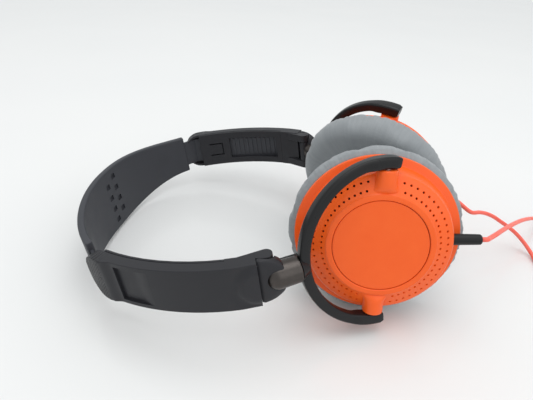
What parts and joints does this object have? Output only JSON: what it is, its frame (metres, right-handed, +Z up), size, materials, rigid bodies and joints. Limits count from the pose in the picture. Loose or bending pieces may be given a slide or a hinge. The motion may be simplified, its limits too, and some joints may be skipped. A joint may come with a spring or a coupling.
{
  "type": "folding on-ear headphones",
  "caption": "Wired folding on-ear headphones with orange cups, grey cushions, a dark headband, sliding arms, folding knuckles, tilting yokes and red cable",
  "frame": {"origin": "centre of the base of the headphones' box, on the table, without the cables", "axes": "+Z up, +X from the crown towards the cups, +Y from the near (left) cup to the far (right) cup; the headphones lie on the crown's edge and the cushions"},
  "size_m": [0.3287, 0.1538, 0.0816],
  "materials": {
    "band": "fine matte",
    "strip": "satin",
    "arm": "satin with fine grain",
    "tube": "dark satin",
    "steel": "turned",
    "yoke": "semi gloss",
    "cup_orange": "satin",
    "inner_frame": "moulded",
    "magnet": "plated",
    "film": "thin film",
    "cloth": "woven",
    "cushion": "soft leatherette",
    "relief": "moulded",
    "cable": "smooth satin"
  },
  "bodies": {
    "headband": {"headband_bridge": "band", "cable_left": "cable", "cable_right": "cable", "cable_splitter": "relief", "cable_coil": "cable", "plug_body": "relief", "plug_jack": "steel"},
    "left_band": {"slider_strip_left": "strip"},
    "left_arm": {"arm_housing_left": "arm", "arm_cover_left": "arm"},
    "left_knuckle": {"fold_knuckle_left": "arm", "swivel_tube_left": "tube", "hinge_pin_left": "steel"},
    "left_yoke": {"yoke_left": "yoke", "pivot_pin_left_low": "steel", "pivot_pin_left_high": "steel"},
    "left_cup": {"cup_shell_left": "cup_orange", "cap_disc_left": "cup_orange", "baffle_left": "inner_frame", "cup_screw_left_1": "steel", "cup_screw_left_2": "steel", "cup_screw_left_3": "steel", "driver_basket_left": "inner_frame", "driver_magnet_left": "magnet", "diaphragm_left": "film", "speaker_cloth_left": "cloth", "cushion_ring_left": "inner_frame", "ear_cushion_left": "cushion", "strain_relief_left": "relief"},
    "right_band": {"slider_strip_right": "strip"},
    "right_arm": {"arm_housing_right": "arm", "arm_cover_right": "arm"},
    "right_knuckle": {"fold_knuckle_right": "arm", "swivel_tube_right": "tube", "hinge_pin_right": "steel"},
    "right_yoke": {"yoke_right": "yoke", "pivot_pin_right_low": "steel", "pivot_pin_right_high": "steel"},
    "right_cup": {"cup_shell_right": "cup_orange", "cap_disc_right": "cup_orange", "baffle_right": "inner_frame", "cup_screw_right_1": "steel", "cup_screw_right_2": "steel", "cup_screw_right_3": "steel", "driver_basket_right": "inner_frame", "driver_magnet_right": "magnet", "diaphragm_right": "film", "speaker_cloth_right": "cloth", "cushion_ring_right": "inner_frame", "ear_cushion_right": "cushion", "strain_relief_right": "relief"}
  },
  "joints": [
    {"name": "left_band_bend", "type": "hinge", "parent": "headband", "child": "left_band", "pos_m": [-0.08709, -0.03428, 0.01974], "axis": [-0.1633, 0, 0.9866], "range_deg": [-19.8, 0], "deforming": ["headband_bridge", "cable_left"]},
    {"name": "left_size", "type": "hinge", "parent": "left_band", "child": "left_arm", "pos_m": [-0.02094, 0.09065, 0.03069], "axis": [-0.1633, 0, 0.9866], "range_deg": [0, 5.8], "deforming": ["cable_left"]},
    {"name": "left_fold", "type": "hinge", "parent": "left_arm", "child": "left_knuckle", "pos_m": [0.01, -0.0594, 0.03581], "axis": [-0.1633, 0, 0.9866], "range_deg": [0, 90], "deforming": ["cable_left"]},
    {"name": "left_swivel", "type": "hinge", "parent": "left_knuckle", "child": "left_yoke", "pos_m": [0.05395, -0.03652, 0.04309], "axis": [0.857, 0.4955, 0.1419], "range_deg": [-7.7, 28.3], "deforming": ["cable_left"]},
    {"name": "left_tilt", "type": "hinge", "parent": "left_yoke", "child": "left_cup", "pos_m": [0.05395, -0.03652, 0.04309], "axis": [-0.0723, 0.251, 0.9653], "range_deg": [-6.4, 21.6], "deforming": ["cable_left"]},
    {"name": "right_band_bend", "type": "hinge", "parent": "headband", "child": "right_band", "pos_m": [-0.08709, 0.03428, 0.01974], "axis": [-0.1633, 0, 0.9866], "range_deg": [0, 19.8], "deforming": ["headband_bridge", "cable_right"]},
    {"name": "right_size", "type": "hinge", "parent": "right_band", "child": "right_arm", "pos_m": [-0.02094, -0.09065, 0.03069], "axis": [-0.1633, 0, 0.9866], "range_deg": [-5.8, 0], "deforming": ["cable_right"]},
    {"name": "right_fold", "type": "hinge", "parent": "right_arm", "child": "right_knuckle", "pos_m": [0.01, 0.0594, 0.03581], "axis": [-0.1633, 0, 0.9866], "range_deg": [-90, 0], "deforming": ["cable_right"]},
    {"name": "right_swivel", "type": "hinge", "parent": "right_knuckle", "child": "right_yoke", "pos_m": [0.05619, 0.04095, 0.04346], "axis": [0.8977, -0.4147, 0.1486], "range_deg": [-26.7, 9.3], "deforming": ["cable_right"]},
    {"name": "right_tilt", "type": "hinge", "parent": "right_yoke", "child": "right_cup", "pos_m": [0.05619, 0.04095, 0.04346], "axis": [-0.0399, -0.2176, 0.9752], "range_deg": [-5.1, 22.9], "deforming": ["cable_right"]}
  ],
  "couplings": [
    {"joint": "left_band_bend", "follows": "left_fold", "ratio": -0.22},
    {"joint": "right_band_bend", "follows": "right_fold", "ratio": -0.22}
  ]
}
